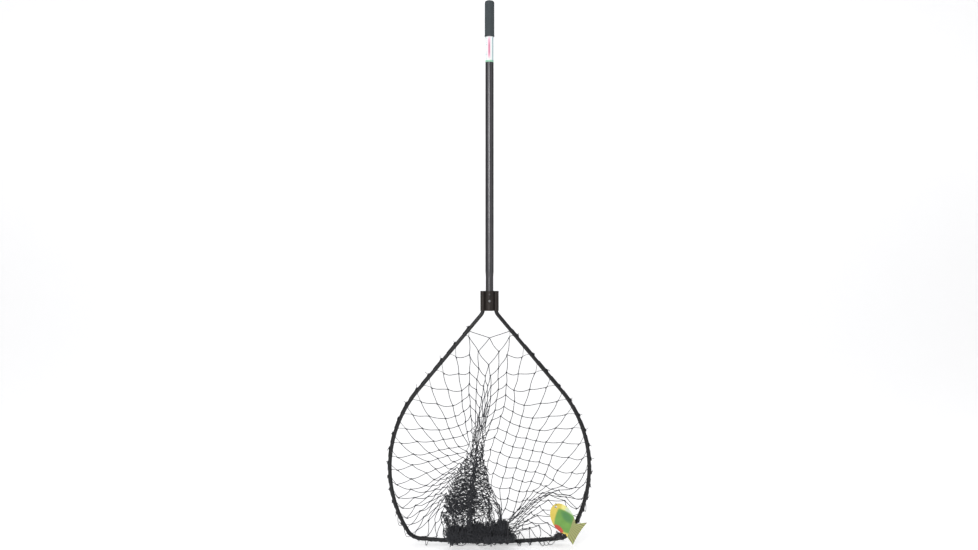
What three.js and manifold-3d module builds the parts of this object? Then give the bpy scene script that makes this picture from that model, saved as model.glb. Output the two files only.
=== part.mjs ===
// Landing net: a teardrop hoop of round rod, a three-barrel yoke, a take-apart
// tube handle held by a sprung snap button, and a knotted bag tied on with twine.
// Millimetres, +Z up the handle, the front of the net is -Y.
// The origin is the middle of the hand grip, on the handle's axis.
import * as THREE from 'three';
import { mergeVertices } from 'three/addons/utils/BufferGeometryUtils.js';
import Module from 'manifold-3d';

const wasm = await Module();
wasm.setup();

// ---------------------------------------------------------------- driving dimensions
const GRIP = { length: 90, radius: 12, bead: 12.4, beadHeight: 4, flat: 6, corner: 5, roof: 2.4 };
const TUBE = {
  length: 762, radius: 10.2, wall: 1.5, taper: 12,
  neckRadius: 9.3, neckWall: 2.1, neckLength: 78,
};
const LABEL = { length: 63, wall: 0.25, gap: 0.1 };
const YOKE = { top: -677, height: 49.5, barrel: 12.5, sideBarrel: 6.5 };
const ROD = { radius: 4.76, armX: 16.4 };
const HOOP = {
  bendZ: -731, lean: THREE.MathUtils.degToRad(40), bendR: 20,
  halfWidth: 248.2, sideR: 300, cornerR: 40, barZ: -1300.5, barR: 1900,
};
const BUTTON = { z: -702, radius: 3.1, flange: 4.4, base: -4, shoulder: -5, tip: -14 };
const SPOT_FACE = { radius: 5.5, y: -11 };
const SPARE_HOLE = { radius: 2.4, rise: 16.5 };
const PIN = { radius: 1.5, from: -1, to: 6.8 };
const TIE = { perSide: 22, firstStep: 27.3, clearYoke: 68.7, inner: 5.5, outer: 6.4, length: 5 };
const BAG = { topKnotZ: -794, rimInset: 10, depth: 27, fall: 4, thickness: 2.4, centreZ: -1080 };
const TAIL = { y: -46, sides: 18 };
const LUMP = { x: 22, z: -1266, radius: 21, halfLength: 30 };
const TAG = { y: -30, x: 180, z: -1237, thickness: 0.8, holeRadius: 3, long: 41, wide: 27, tilt: 30 };
const STRING = { radius: 0.5, loop: 5 };
const GAP = 0.3;

// ---------------------------------------------------------------- materials
const finish = (color, roughness, metalness) => new THREE.MeshStandardMaterial({ color, roughness, metalness });
const vinyl = finish(0x2b3134, 0.75, 0);
const film = finish(0xe9efec, 0.4, 0);
const darkTube = finish(0x3d3a3e, 0.4, 0.8);
const darkYoke = finish(0x1c1816, 0.5, 0.6);
const blackRod = finish(0x141416, 0.4, 0.4);
const steel = finish(0xb8bcc0, 0.3, 1);
const netTwine = finish(0x17181b, 0.9, 0);
const tieTwine = finish(0x0e0e10, 0.9, 0);
const card = finish(0x8fc04a, 0.6, 0);

// ---------------------------------------------------------------- solids
/** Closed three.js geometry to a manifold-3d solid. */
function solid(geometry) {
  const bare = geometry.clone();
  bare.deleteAttribute('normal');
  bare.deleteAttribute('uv');
  const merged = mergeVertices(bare, 1e-4);
  return new wasm.Manifold(new wasm.Mesh({
    numProp: 3,
    vertProperties: new Float32Array(merged.attributes.position.array),
    triVerts: new Uint32Array(merged.index.array),
  }));
}

/** manifold-3d solid back to a three.js geometry. */
function geometryOf(body) {
  const mesh = body.getMesh();
  const geometry = new THREE.BufferGeometry();
  geometry.setAttribute('position', new THREE.BufferAttribute(new Float32Array(mesh.vertProperties), 3));
  geometry.setIndex(new THREE.BufferAttribute(new Uint32Array(mesh.triVerts), 1));
  geometry.computeVertexNormals();
  return geometry;
}

/** Round bar along Z from z0 to z1. */
function bar(radius, z0, z1, x = 0, sides = 24) {
  return new THREE.CylinderGeometry(radius, radius, z1 - z0, sides)
    .rotateX(Math.PI / 2)
    .translate(x, 0, (z0 + z1) / 2);
}

/** Round bar along Y from y0 to y1. */
function crossBar(radius, y0, y1, x, z, sides = 16) {
  return new THREE.CylinderGeometry(radius, radius, y1 - y0, sides).translate(x, (y0 + y1) / 2, z);
}

/** Turned piece: profile points are [radius, z], outside going up. */
function turned(profile, sides) {
  const points = profile.map(([r, z]) => new THREE.Vector2(r, z));
  return new THREE.LatheGeometry(points, sides).rotateX(Math.PI / 2);
}

// ---------------------------------------------------------------- hoop centreline
/** Bent rod in the XZ plane. Heading 0 points down, positive headings lean to +X. */
class HoopPath extends THREE.Curve {
  constructor() {
    super();
    this.stations = [];
    this.at = { x: ROD.armX, z: YOKE.top - 4, heading: 0, run: 0 };
    const { lean, bendR, halfWidth, sideR, cornerR, barZ, barR } = HOOP;
    this.line(this.at.z - HOOP.bendZ - bendR * Math.tan(lean / 2), 1);
    this.arc(bendR, lean, 5);
    const sideStart = halfWidth - sideR * (1 - Math.cos(lean));
    this.line((sideStart - this.at.x) / Math.sin(lean), 3);
    const side = new THREE.Vector2(halfWidth - sideR, this.at.z - sideR * Math.sin(lean));
    const bottom = new THREE.Vector2(0, barZ + barR);
    const toSide = sideR - cornerR;
    const toBottom = barR - cornerR;
    const apart = side.distanceTo(bottom);
    const along = Math.atan2(bottom.y - side.y, bottom.x - side.x);
    const swing = Math.acos((toSide ** 2 + apart ** 2 - toBottom ** 2) / (2 * toSide * apart));
    const cornerX = side.x + toSide * Math.cos(along - swing);
    const cornerZ = side.y + toSide * Math.sin(along - swing);
    const cornerStart = Math.atan2(side.y - cornerZ, cornerX - side.x);
    const cornerEnd = Math.atan2(bottom.y - cornerZ, cornerX - bottom.x);
    this.arc(sideR, -(lean + cornerStart), 15);
    this.arc(cornerR, -(cornerEnd - cornerStart), 8);
    this.arc(barR, -(Math.PI / 2 - cornerEnd), 4);
    this.halfLength = this.at.run;
  }

  push(pointAt, length, steps) {
    for (let step = 0; step < steps; step += 1) {
      const from = step / steps;
      const to = (step + 1) / steps;
      this.stations.push({
        pointAt: (f) => pointAt(from + f * (to - from)),
        start: this.at.run + from * length,
        length: length / steps,
      });
    }
    this.at.run += length;
  }

  line(length, steps) {
    const { x, z, heading } = this.at;
    const pointAt = (f) => [x + f * length * Math.sin(heading), z - f * length * Math.cos(heading)];
    this.push(pointAt, length, steps);
    [this.at.x, this.at.z] = pointAt(1);
  }

  arc(radius, turn, steps) {
    const { x, z, heading } = this.at;
    const side = Math.sign(turn) * radius;
    const pointAt = (f) => {
      const h = heading + f * turn;
      return [x + side * (Math.cos(heading) - Math.cos(h)), z - side * (Math.sin(h) - Math.sin(heading))];
    };
    this.push(pointAt, radius * Math.abs(turn), steps);
    [this.at.x, this.at.z] = pointAt(1);
    this.at.heading += turn;
  }

  /** t runs from the right arm's end, round the hoop, to the left arm's end. */
  getPoint(t, target = new THREE.Vector3()) {
    const mirrored = t > 0.5;
    const place = Math.min(2 * (mirrored ? 1 - t : t), 1) * this.stations.length;
    const index = Math.min(Math.floor(place), this.stations.length - 1);
    const [x, z] = this.stations[index].pointAt(place - index);
    return target.set(mirrored ? -x : x, 0, z);
  }

  getPointAt(t, target) {
    return this.getPoint(t, target);
  }

  getUtoTmapping(u) {
    return u;
  }

  /** t at a distance from the middle of the bottom bar, positive towards +X. */
  fromBottom(distance) {
    const run = this.halfLength - Math.abs(distance);
    const index = this.stations.findIndex((s) => run <= s.start + s.length);
    const { start, length } = this.stations[index];
    const t = (index + (run - start) / length) / this.stations.length / 2;
    return distance < 0 ? 1 - t : t;
  }
}

const hoopPath = new HoopPath();
const armInYoke = YOKE.top - 4 - (YOKE.top - YOKE.height);
const tiedHalf = hoopPath.halfLength - armInYoke - TIE.clearYoke;
const stepGrowth = (tiedHalf - TIE.firstStep * TIE.perSide) / TIE.perSide ** 4;
/** Ties sit closest on the bottom bar and spread out towards the yoke. */
const tieDistance = (k) => TIE.firstStep * k + stepGrowth * k * Math.abs(k) ** 3;
const tieNumbers = Array.from({ length: 2 * TIE.perSide + 1 }, (_, i) => i - TIE.perSide);

// ---------------------------------------------------------------- handle
const tubeTop = GRIP.length / 2 - GRIP.roof - GAP;
const tubeBottom = tubeTop - TUBE.length;

function makeHandleTube() {
  const neckTop = tubeBottom + TUBE.neckLength;
  const taperTop = neckTop + TUBE.taper;
  const inner = TUBE.radius - TUBE.wall;
  const neckInner = TUBE.neckRadius - TUBE.neckWall;
  const tube = solid(turned([
    [TUBE.neckRadius, tubeBottom], [TUBE.neckRadius, neckTop], [TUBE.radius, taperTop],
    [TUBE.radius, tubeTop], [inner, tubeTop], [inner, taperTop],
    [neckInner, neckTop], [neckInner, tubeBottom], [TUBE.neckRadius, tubeBottom],
  ], 32));
  const hole = crossBar(BUTTON.radius + 0.4, -TUBE.radius - 2, 0, 0, BUTTON.z);
  return geometryOf(tube.subtract(solid(hole)));
}

function makeGrip() {
  const top = GRIP.length / 2;
  const bottom = -top;
  const bore = TUBE.radius + LABEL.gap;
  const profile = [
    [0, top - GRIP.roof], [bore, top - GRIP.roof], [bore, bottom],
    [GRIP.bead - 0.5, bottom], [GRIP.bead, bottom + 1],
    [GRIP.bead, bottom + GRIP.beadHeight], [GRIP.radius, bottom + GRIP.beadHeight + 1.5],
  ];
  const rise = Math.PI / 2;
  for (let step = 0; step <= 5; step += 1) {
    const a = (rise * step) / 5;
    profile.push([
      GRIP.flat + (GRIP.radius - GRIP.flat) * Math.cos(a),
      top - GRIP.corner + GRIP.corner * Math.sin(a),
    ]);
  }
  profile.push([0, top]);
  return turned(profile, 32);
}

function makeLabel() {
  const top = -GRIP.length / 2 - GAP;
  const inner = TUBE.radius + LABEL.gap;
  const outer = inner + LABEL.wall;
  const bottom = top - LABEL.length;
  return turned([[outer, bottom], [outer, top], [inner, top], [inner, bottom], [outer, bottom]], 32);
}

// ---------------------------------------------------------------- yoke and button
function makeYoke() {
  const bottom = YOKE.top - YOKE.height;
  const middle = (YOKE.top + bottom) / 2;
  let yoke = solid(bar(YOKE.barrel, bottom, YOKE.top, 0, 32));
  for (const x of [-ROD.armX, ROD.armX]) yoke = yoke.add(solid(bar(YOKE.sideBarrel, bottom, YOKE.top, x)));
  yoke = yoke.subtract(solid(bar(TUBE.neckRadius + GAP, bottom - 1, YOKE.top + 1, 0, 32)));
  for (const x of [-ROD.armX, ROD.armX]) {
    yoke = yoke.subtract(solid(bar(ROD.radius + GAP, bottom - 1, YOKE.top + 1, x, 16)));
    yoke = yoke.subtract(solid(crossBar(PIN.radius + GAP, 0, YOKE.sideBarrel + 1, x, middle, 10)));
  }
  yoke = yoke.subtract(solid(crossBar(BUTTON.radius + 0.5, -YOKE.barrel - 1, 0, 0, BUTTON.z)));
  yoke = yoke.subtract(solid(crossBar(SPOT_FACE.radius, -YOKE.barrel - 1, SPOT_FACE.y, 0, BUTTON.z, 20)));
  const spareZ = BUTTON.z + SPARE_HOLE.rise;
  yoke = yoke.subtract(solid(crossBar(SPARE_HOLE.radius, -YOKE.barrel - 1, 0, 0, spareZ, 10)));
  return geometryOf(yoke);
}

function makeButton() {
  const profile = [
    [0, BUTTON.base], [BUTTON.flange, BUTTON.base], [BUTTON.flange, BUTTON.shoulder],
    [BUTTON.radius, BUTTON.shoulder], [BUTTON.radius, BUTTON.tip + 2],
    [BUTTON.radius * 0.85, BUTTON.tip + 0.9], [BUTTON.radius * 0.5, BUTTON.tip + 0.2], [0, BUTTON.tip],
  ];
  const points = profile.map(([r, y]) => new THREE.Vector2(r, -y));
  return new THREE.LatheGeometry(points, 20).rotateX(Math.PI).translate(0, 0, BUTTON.z);
}

/** Bent strip spring: one leg behind the button, the other on the tube's far wall. */
function makeButtonSpring() {
  const width = 5;
  const thickness = 0.6;
  const route = [[-3.3, -4], [-3.2, 4], [-2.2, 16], [-0.4, 27], [2.2, 31], [5, 27], [6, 16], [6.1, -8]];
  const path = new THREE.CatmullRomCurve3(route.map(([y, z]) => new THREE.Vector3(0, y, BUTTON.z + z)));
  const section = new THREE.Shape([
    new THREE.Vector2(-width / 2, -thickness / 2), new THREE.Vector2(width / 2, -thickness / 2),
    new THREE.Vector2(width / 2, thickness / 2), new THREE.Vector2(-width / 2, thickness / 2),
  ]);
  return new THREE.ExtrudeGeometry(section, { steps: 20, extrudePath: path });
}

const makePin = (x) => crossBar(PIN.radius, PIN.from, PIN.to, x, YOKE.top - YOKE.height / 2, 10);

// ---------------------------------------------------------------- hoop and its ties
/** Round section for an extruded rod. */
function roundSection(radius, sides) {
  const points = Array.from({ length: sides }, (_, i) => {
    const a = (2 * Math.PI * (i + 0.5)) / sides;
    return new THREE.Vector2(radius * Math.cos(a), radius * Math.sin(a));
  });
  return new THREE.Shape(points);
}

function makeHoop() {
  const steps = 2 * hoopPath.stations.length;
  const rod = new THREE.ExtrudeGeometry(roundSection(ROD.radius, 10), { steps, extrudePath: hoopPath });
  let hoop = solid(rod);
  for (const x of [-ROD.armX, ROD.armX]) {
    const hole = crossBar(PIN.radius + GAP, PIN.from - GAP, ROD.radius + 1, x, YOKE.top - YOKE.height / 2, 10);
    hoop = hoop.subtract(solid(hole));
  }
  return geometryOf(hoop);
}

/** Wrapped turns of twine round the rod, axis along Z until it is turned. */
function makeTie() {
  const { inner, outer, length } = TIE;
  const half = length / 2;
  return turned([[outer, -half], [outer, half], [inner, half], [inner, -half], [outer, -half]], 8);
}

// ---------------------------------------------------------------- bag
/** Bag rim, one point inside each tie and one at the top knot between the arms. */
function bagRim() {
  const rim = tieNumbers.map((k) => {
    const t = hoopPath.fromBottom(tieDistance(k));
    const point = hoopPath.getPoint(t);
    const along = hoopPath.getTangent(t);
    return new THREE.Vector2(point.x + along.z * BAG.rimInset, point.z - along.x * BAG.rimInset);
  });
  rim.push(new THREE.Vector2(0, BAG.topKnotZ));
  return rim;
}

/** Thin dish of netting, tied at its rim and falling forward to BAG.depth. */
function makeBag() {
  const rim = bagRim();
  const rings = [1, 0.93, 0.83, 0.66, 0.38];
  const yAt = (share) => -BAG.depth * (1 - Math.exp(-BAG.fall * (1 - share)));
  const positions = [];
  for (const side of [-BAG.thickness / 2, BAG.thickness / 2]) {
    for (const share of rings) {
      for (const p of rim) {
        positions.push(p.x * share, yAt(share) + side, BAG.centreZ + (p.y - BAG.centreZ) * share);
      }
    }
    positions.push(0, yAt(0) + side, BAG.centreZ);
  }
  const count = rim.length;
  const skin = rings.length * count + 1;
  const faces = [];
  const quad = (a, b, c, d) => faces.push(a, b, c, a, c, d);
  for (let i = 0; i < count; i += 1) {
    const j = (i + 1) % count;
    for (let r = 0; r + 1 < rings.length; r += 1) {
      const outer = r * count;
      const inner = outer + count;
      quad(outer + i, outer + j, inner + j, inner + i);
      quad(skin + outer + j, skin + outer + i, skin + inner + i, skin + inner + j);
    }
    const last = (rings.length - 1) * count;
    faces.push(last + i, last + j, skin - 1);
    faces.push(skin + last + j, skin + last + i, 2 * skin - 1);
    quad(j, i, skin + i, skin + j);
  }
  const geometry = new THREE.BufferGeometry();
  geometry.setAttribute('position', new THREE.Float32BufferAttribute(positions, 3));
  geometry.setIndex(faces);
  geometry.computeVertexNormals();
  return geometry;
}

/** Gathered lower bag: a cone that hangs from a narrow waist and lands in a pile. */
function makeTail() {
  // Level sections from the ground up: height, middle x, half width, half depth.
  const sections = [
    [-1307, -43, 58, 13], [-1296, -43, 69, 17], [-1245, -45, 69, 19], [-1198, -46, 64, 18],
    [-1158, -51, 51, 16], [-1118, -43, 34, 13], [-1073, -35, 21, 10], [-1030, -24, 18, 8], [-979, -15, 16, 7],
  ];
  const positions = [];
  for (const [z, x, wide, deep] of sections) {
    for (let i = 0; i < TAIL.sides; i += 1) {
      const a = (2 * Math.PI * i) / TAIL.sides;
      positions.push(x + wide * Math.cos(a), TAIL.y + deep * Math.sin(a), z);
    }
  }
  const foot = positions.length / 3;
  positions.push(sections[0][1], TAIL.y, sections[0][0]);
  positions.push(sections.at(-1)[1], TAIL.y, sections.at(-1)[0]);
  const faces = [];
  const top = (sections.length - 1) * TAIL.sides;
  for (let i = 0; i < TAIL.sides; i += 1) {
    const j = (i + 1) % TAIL.sides;
    for (let row = 0; row < top; row += TAIL.sides) {
      faces.push(row + i, row + j, row + TAIL.sides + j, row + i, row + TAIL.sides + j, row + TAIL.sides + i);
    }
    faces.push(foot, j, i, foot + 1, top + i, top + j);
  }
  const cone = new THREE.BufferGeometry();
  cone.setAttribute('position', new THREE.Float32BufferAttribute(positions, 3));
  cone.setIndex(faces);
  const lump = new THREE.CapsuleGeometry(LUMP.radius, 2 * LUMP.halfLength, 4, 14)
    .rotateZ(Math.PI / 2)
    .translate(LUMP.x, TAIL.y, LUMP.z);
  return geometryOf(solid(cone).add(solid(lump)));
}

/** Draw cord round the bag's gathered end. */
function makeGatherCord() {
  const x = LUMP.x + LUMP.halfLength - 8;
  const radius = LUMP.radius + 1.4;
  const section = 1;
  const profile = Array.from({ length: 7 }, (_, i) => {
    const a = (2 * Math.PI * (i % 6)) / 6;
    return [radius + section * Math.cos(a), section * Math.sin(a)];
  });
  return turned(profile, 20).rotateY(Math.PI / 2).translate(x, TAIL.y, LUMP.z);
}

// ---------------------------------------------------------------- swing tag
const tilt = THREE.MathUtils.degToRad(TAG.tilt);
const tagHole = new THREE.Vector2(
  TAG.x - (TAG.long - 7) * Math.sin(tilt),
  TAG.z + (TAG.long - 7) * Math.cos(tilt),
);

/** Flat card cut to a plain fish outline, with a round hole near its nose. */
function makeTag() {
  const options = { depth: TAG.thickness, bevelEnabled: false, curveSegments: 20 };
  const stand = (shape) => new THREE.ExtrudeGeometry(shape, options).rotateX(Math.PI / 2);
  const body = new THREE.Shape();
  body.absellipse(TAG.x, TAG.z, TAG.wide, TAG.long, 0, 2 * Math.PI, false, tilt);
  const fan = new THREE.Shape();
  fan.moveTo(TAG.x + 16, TAG.z - 14);
  fan.lineTo(TAG.x + 8, TAG.z - 40);
  fan.lineTo(TAG.x + 25, TAG.z - 64);
  fan.quadraticCurveTo(TAG.x + 38, TAG.z - 34, TAG.x + 60, TAG.z - 9);
  fan.closePath();
  const hole = crossBar(TAG.holeRadius, -2, 2, tagHole.x, tagHole.y);
  const tag = solid(stand(body)).add(solid(stand(fan))).subtract(solid(hole));
  return geometryOf(tag).translate(0, TAG.y, 0);
}

/** Loop of string through the tag's hole; the tag swings from the top of it. */
function makeTagString() {
  const profile = Array.from({ length: 7 }, (_, i) => {
    const a = (2 * Math.PI * (i % 6)) / 6;
    return [STRING.loop + STRING.radius * Math.cos(a), STRING.radius * Math.sin(a)];
  });
  return turned(profile, 16)
    .rotateY(Math.PI / 2)
    .translate(tagHole.x, TAG.y - TAG.thickness / 2, tagHole.y + STRING.loop);
}

// ---------------------------------------------------------------- assembly
const net = new THREE.Group();

function piece(name, geometry, material, group = net) {
  const mesh = new THREE.Mesh(geometry, material);
  mesh.name = name;
  group.add(mesh);
  return mesh;
}

piece('handle_tube', makeHandleTube(), darkTube);
piece('handle_grip', makeGrip(), vinyl);
piece('label_wrap', makeLabel(), film);
piece('yoke', makeYoke(), darkYoke);
piece('snap_button', makeButton(), steel);
piece('button_spring', makeButtonSpring(), steel);
piece('arm_pin_left', makePin(-ROD.armX), steel);
piece('arm_pin_right', makePin(ROD.armX), steel);
piece('hoop', makeHoop(), blackRod);
piece('net_bag', makeBag(), netTwine);
piece('net_tail', makeTail(), netTwine);
piece('gather_cord', makeGatherCord(), tieTwine);
piece('swing_tag', makeTag(), card);
piece('tag_string', makeTagString(), tieTwine);

const ties = new THREE.Group();
net.add(ties);
const upright = new THREE.Vector3(0, 0, 1);
tieNumbers.forEach((k, index) => {
  const t = hoopPath.fromBottom(tieDistance(k));
  const tie = piece(`net_tie_${String(index + 1).padStart(2, '0')}`, makeTie(), tieTwine, ties);
  tie.position.copy(hoopPath.getPoint(t));
  tie.quaternion.setFromUnitVectors(upright, hoopPath.getTangent(t));
});

export default net;
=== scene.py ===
import math

import bpy
import numpy as np
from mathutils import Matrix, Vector


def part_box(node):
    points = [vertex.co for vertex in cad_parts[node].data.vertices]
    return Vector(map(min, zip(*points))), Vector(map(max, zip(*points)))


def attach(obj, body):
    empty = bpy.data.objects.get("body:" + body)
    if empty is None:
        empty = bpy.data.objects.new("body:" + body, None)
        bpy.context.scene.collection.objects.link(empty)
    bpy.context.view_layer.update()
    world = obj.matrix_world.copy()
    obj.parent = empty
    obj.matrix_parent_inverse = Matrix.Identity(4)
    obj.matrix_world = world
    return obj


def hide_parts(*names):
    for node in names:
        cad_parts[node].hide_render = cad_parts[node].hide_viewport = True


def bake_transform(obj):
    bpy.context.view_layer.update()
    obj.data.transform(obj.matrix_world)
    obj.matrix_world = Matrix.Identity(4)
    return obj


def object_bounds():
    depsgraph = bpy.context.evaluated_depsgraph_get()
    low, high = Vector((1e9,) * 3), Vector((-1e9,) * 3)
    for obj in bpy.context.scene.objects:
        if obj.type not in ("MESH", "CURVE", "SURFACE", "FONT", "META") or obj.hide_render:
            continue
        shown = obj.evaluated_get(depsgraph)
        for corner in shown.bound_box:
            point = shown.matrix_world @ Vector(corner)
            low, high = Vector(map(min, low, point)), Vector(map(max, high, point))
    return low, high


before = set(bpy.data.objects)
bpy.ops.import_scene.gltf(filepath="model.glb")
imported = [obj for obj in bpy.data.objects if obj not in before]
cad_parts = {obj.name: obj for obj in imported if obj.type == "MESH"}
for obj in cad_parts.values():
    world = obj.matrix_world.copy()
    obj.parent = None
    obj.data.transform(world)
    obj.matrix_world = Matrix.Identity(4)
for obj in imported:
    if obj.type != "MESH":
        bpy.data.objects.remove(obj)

cad_bounds = [list(corner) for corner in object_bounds()]

MM = 0.001
FLOOR_Z = cad_bounds[0][2]
TIE_NAMES = sorted(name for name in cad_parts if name.startswith("net_tie_"))
TIES_PER_SIDE = len(TIE_NAMES) // 2


def link(name, data):
    """A new object of the scene."""
    obj = bpy.data.objects.new(name, data)
    bpy.context.scene.collection.objects.link(obj)
    return obj


# ---------------- camera
def make_camera():
    """Level camera in front of the net, at half its height."""
    distance, width, height, side = 2.4, 2.4352, -0.6374, -0.0013
    data = bpy.data.cameras.new("camera")
    data.sensor_width = 36
    data.lens = data.sensor_width * distance / width
    camera = link("camera", data)
    camera.location = (side, -distance, height)
    camera.rotation_euler = (math.pi / 2, 0, 0)
    bpy.context.scene.camera = camera


make_camera()


# ---------------- materials
class Finish:
    """A principled material with short helpers for its nodes."""

    def __init__(self, name, color, roughness, metallic=0.0, **sockets):
        self.material = bpy.data.materials.new(name)
        self.material.use_nodes = True
        self.tree = self.material.node_tree
        self.shader = self.tree.nodes["Principled BSDF"]
        self.set("Base Color", (*color, 1))
        self.set("Roughness", roughness)
        self.set("Metallic", metallic)
        for key, value in sockets.items():
            self.set(key.replace("_", " "), value)

    def set(self, socket, value):
        self.shader.inputs[socket].default_value = value

    def node(self, kind, **inputs):
        node = self.tree.nodes.new(kind)
        for key, value in inputs.items():
            name = key.replace("_", " ")
            if name in node.inputs:
                self.feed(node.inputs[name], value)
            else:
                setattr(node, key, value)
        return node

    def feed(self, socket, value):
        if isinstance(value, bpy.types.NodeSocket):
            self.tree.links.new(value, socket)
        else:
            socket.default_value = value

    def place(self, scale=(1, 1, 1)):
        """Object coordinates, stretched: the row frame in metres."""
        source = self.node("ShaderNodeTexCoord")
        mapping = self.node("ShaderNodeMapping", Scale=scale)
        self.tree.links.new(source.outputs["Object"], mapping.inputs["Vector"])
        return mapping.outputs["Vector"]

    def noise(self, scale, detail=3.0, stretch=(1, 1, 1), roughness=0.55):
        node = self.node("ShaderNodeTexNoise", Scale=scale, Detail=detail, Roughness=roughness)
        self.tree.links.new(self.place(stretch), node.inputs["Vector"])
        return node.outputs["Fac"]

    def ramp(self, value, low, high):
        """Black up to low, white from high on."""
        node = self.node("ShaderNodeValToRGB")
        node.color_ramp.elements[0].position = low
        node.color_ramp.elements[1].position = high
        self.tree.links.new(value, node.inputs["Fac"])
        return node.outputs["Color"]

    def mix(self, factor, first, second):
        node = self.node("ShaderNodeMix", data_type="RGBA")
        self.feed(node.inputs[0], factor)
        for socket, value in ((node.inputs[6], first), (node.inputs[7], second)):
            if isinstance(value, tuple) and len(value) == 3:
                value = (*value, 1)
            self.feed(socket, value)
        return node.outputs[2]

    def math(self, operation, a, b=None, c=None):
        node = self.node("ShaderNodeMath", operation=operation)
        for socket, value in zip(node.inputs, (a, b, c)):
            if value is not None:
                self.feed(socket, value)
        return node.outputs[0]

    def span(self, value, low, high):
        """low to high of a value, spread over 0 to 1 of the result."""
        node = self.node("ShaderNodeMapRange")
        self.feed(node.inputs["Value"], value)
        node.inputs["From Min"].default_value = low
        node.inputs["From Max"].default_value = high
        return node.outputs["Result"]

    def axes(self):
        node = self.node("ShaderNodeSeparateXYZ")
        self.tree.links.new(self.place(), node.inputs[0])
        return node.outputs

    def bump(self, height, distance, strength=1.0):
        node = self.node("ShaderNodeBump", Strength=strength, Distance=distance)
        self.feed(node.inputs["Height"], height)
        self.tree.links.new(node.outputs["Normal"], self.shader.inputs["Normal"])

    def color(self, value):
        self.feed(self.shader.inputs["Base Color"], value)

    def roughness(self, value, low, high):
        node = self.node("ShaderNodeMapRange")
        self.feed(node.inputs["Value"], value)
        node.inputs["To Min"].default_value = low
        node.inputs["To Max"].default_value = high
        self.tree.links.new(node.outputs["Result"], self.shader.inputs["Roughness"])

    def coat(self, cloud, dark, light, grain, smooth, rough, depth, strength):
        """Colour clouded from dark to light; the grain sets roughness and bump, its depth in mm."""
        self.color(self.mix(cloud, dark, light))
        self.roughness(grain, smooth, rough)
        self.bump(grain, depth * MM, strength)
        return self.material


def vinyl_finish():
    finish = Finish("grip_vinyl", (0.05, 0.062, 0.068), 0.62, Specular_IOR_Level=0.35)
    mottled, pebble = finish.noise(160, 4), finish.noise(1500, 2)
    dark, light = (0.036, 0.046, 0.051), (0.066, 0.08, 0.087)
    return finish.coat(mottled, dark, light, pebble, 0.5, 0.78, 0.25, 0.6)


def label_finish(low, high):
    """White film with plain colour bands: a rose bar up the front, mint and teal edges."""
    finish = Finish("label_film", (0.86, 0.9, 0.89), 0.32, Coat_Weight=0.25)
    x, y, z = finish.axes()
    angle = finish.math("ARCTAN2", x, finish.math("MULTIPLY", y, -1.0))
    height = finish.span(z, low.z, high.z)

    def band(value, centre, half, soft):
        away = finish.math("ABSOLUTE", finish.math("SUBTRACT", value, centre))
        return finish.span(away, half + soft, half)

    def both(a, b):
        return finish.math("MULTIPLY", a, b)

    paper = finish.mix(finish.noise(40, 2), (0.9, 0.95, 0.95), (0.97, 1.0, 1.0))
    specks = both(finish.ramp(finish.noise(330, 2), 0.52, 0.62), band(angle, -0.9, 0.25, 0.1))
    paper = finish.mix(specks, paper, (0.5, 0.66, 0.68))
    mint = finish.mix(band(height, 0.03, 0.035, 0.015), paper, (0.34, 0.68, 0.47))
    teal_line = both(band(angle, 0.86, 0.1, 0.05), band(height, 0.5, 0.46, 0.02))
    teal = finish.mix(teal_line, mint, (0.17, 0.42, 0.46))
    haze_shape = both(band(angle, -0.1, 0.16, 0.24), band(height, 0.55, 0.3, 0.2))
    haze = finish.mix(haze_shape, teal, (0.85, 0.42, 0.56))
    core_shape = both(band(angle, -0.08, 0.05, 0.14), band(height, 0.52, 0.14, 0.16))
    finish.color(finish.mix(core_shape, haze, (0.62, 0.12, 0.25)))
    finish.bump(finish.noise(700, 2), 0.05 * MM, 0.4)
    return finish.material


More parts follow.
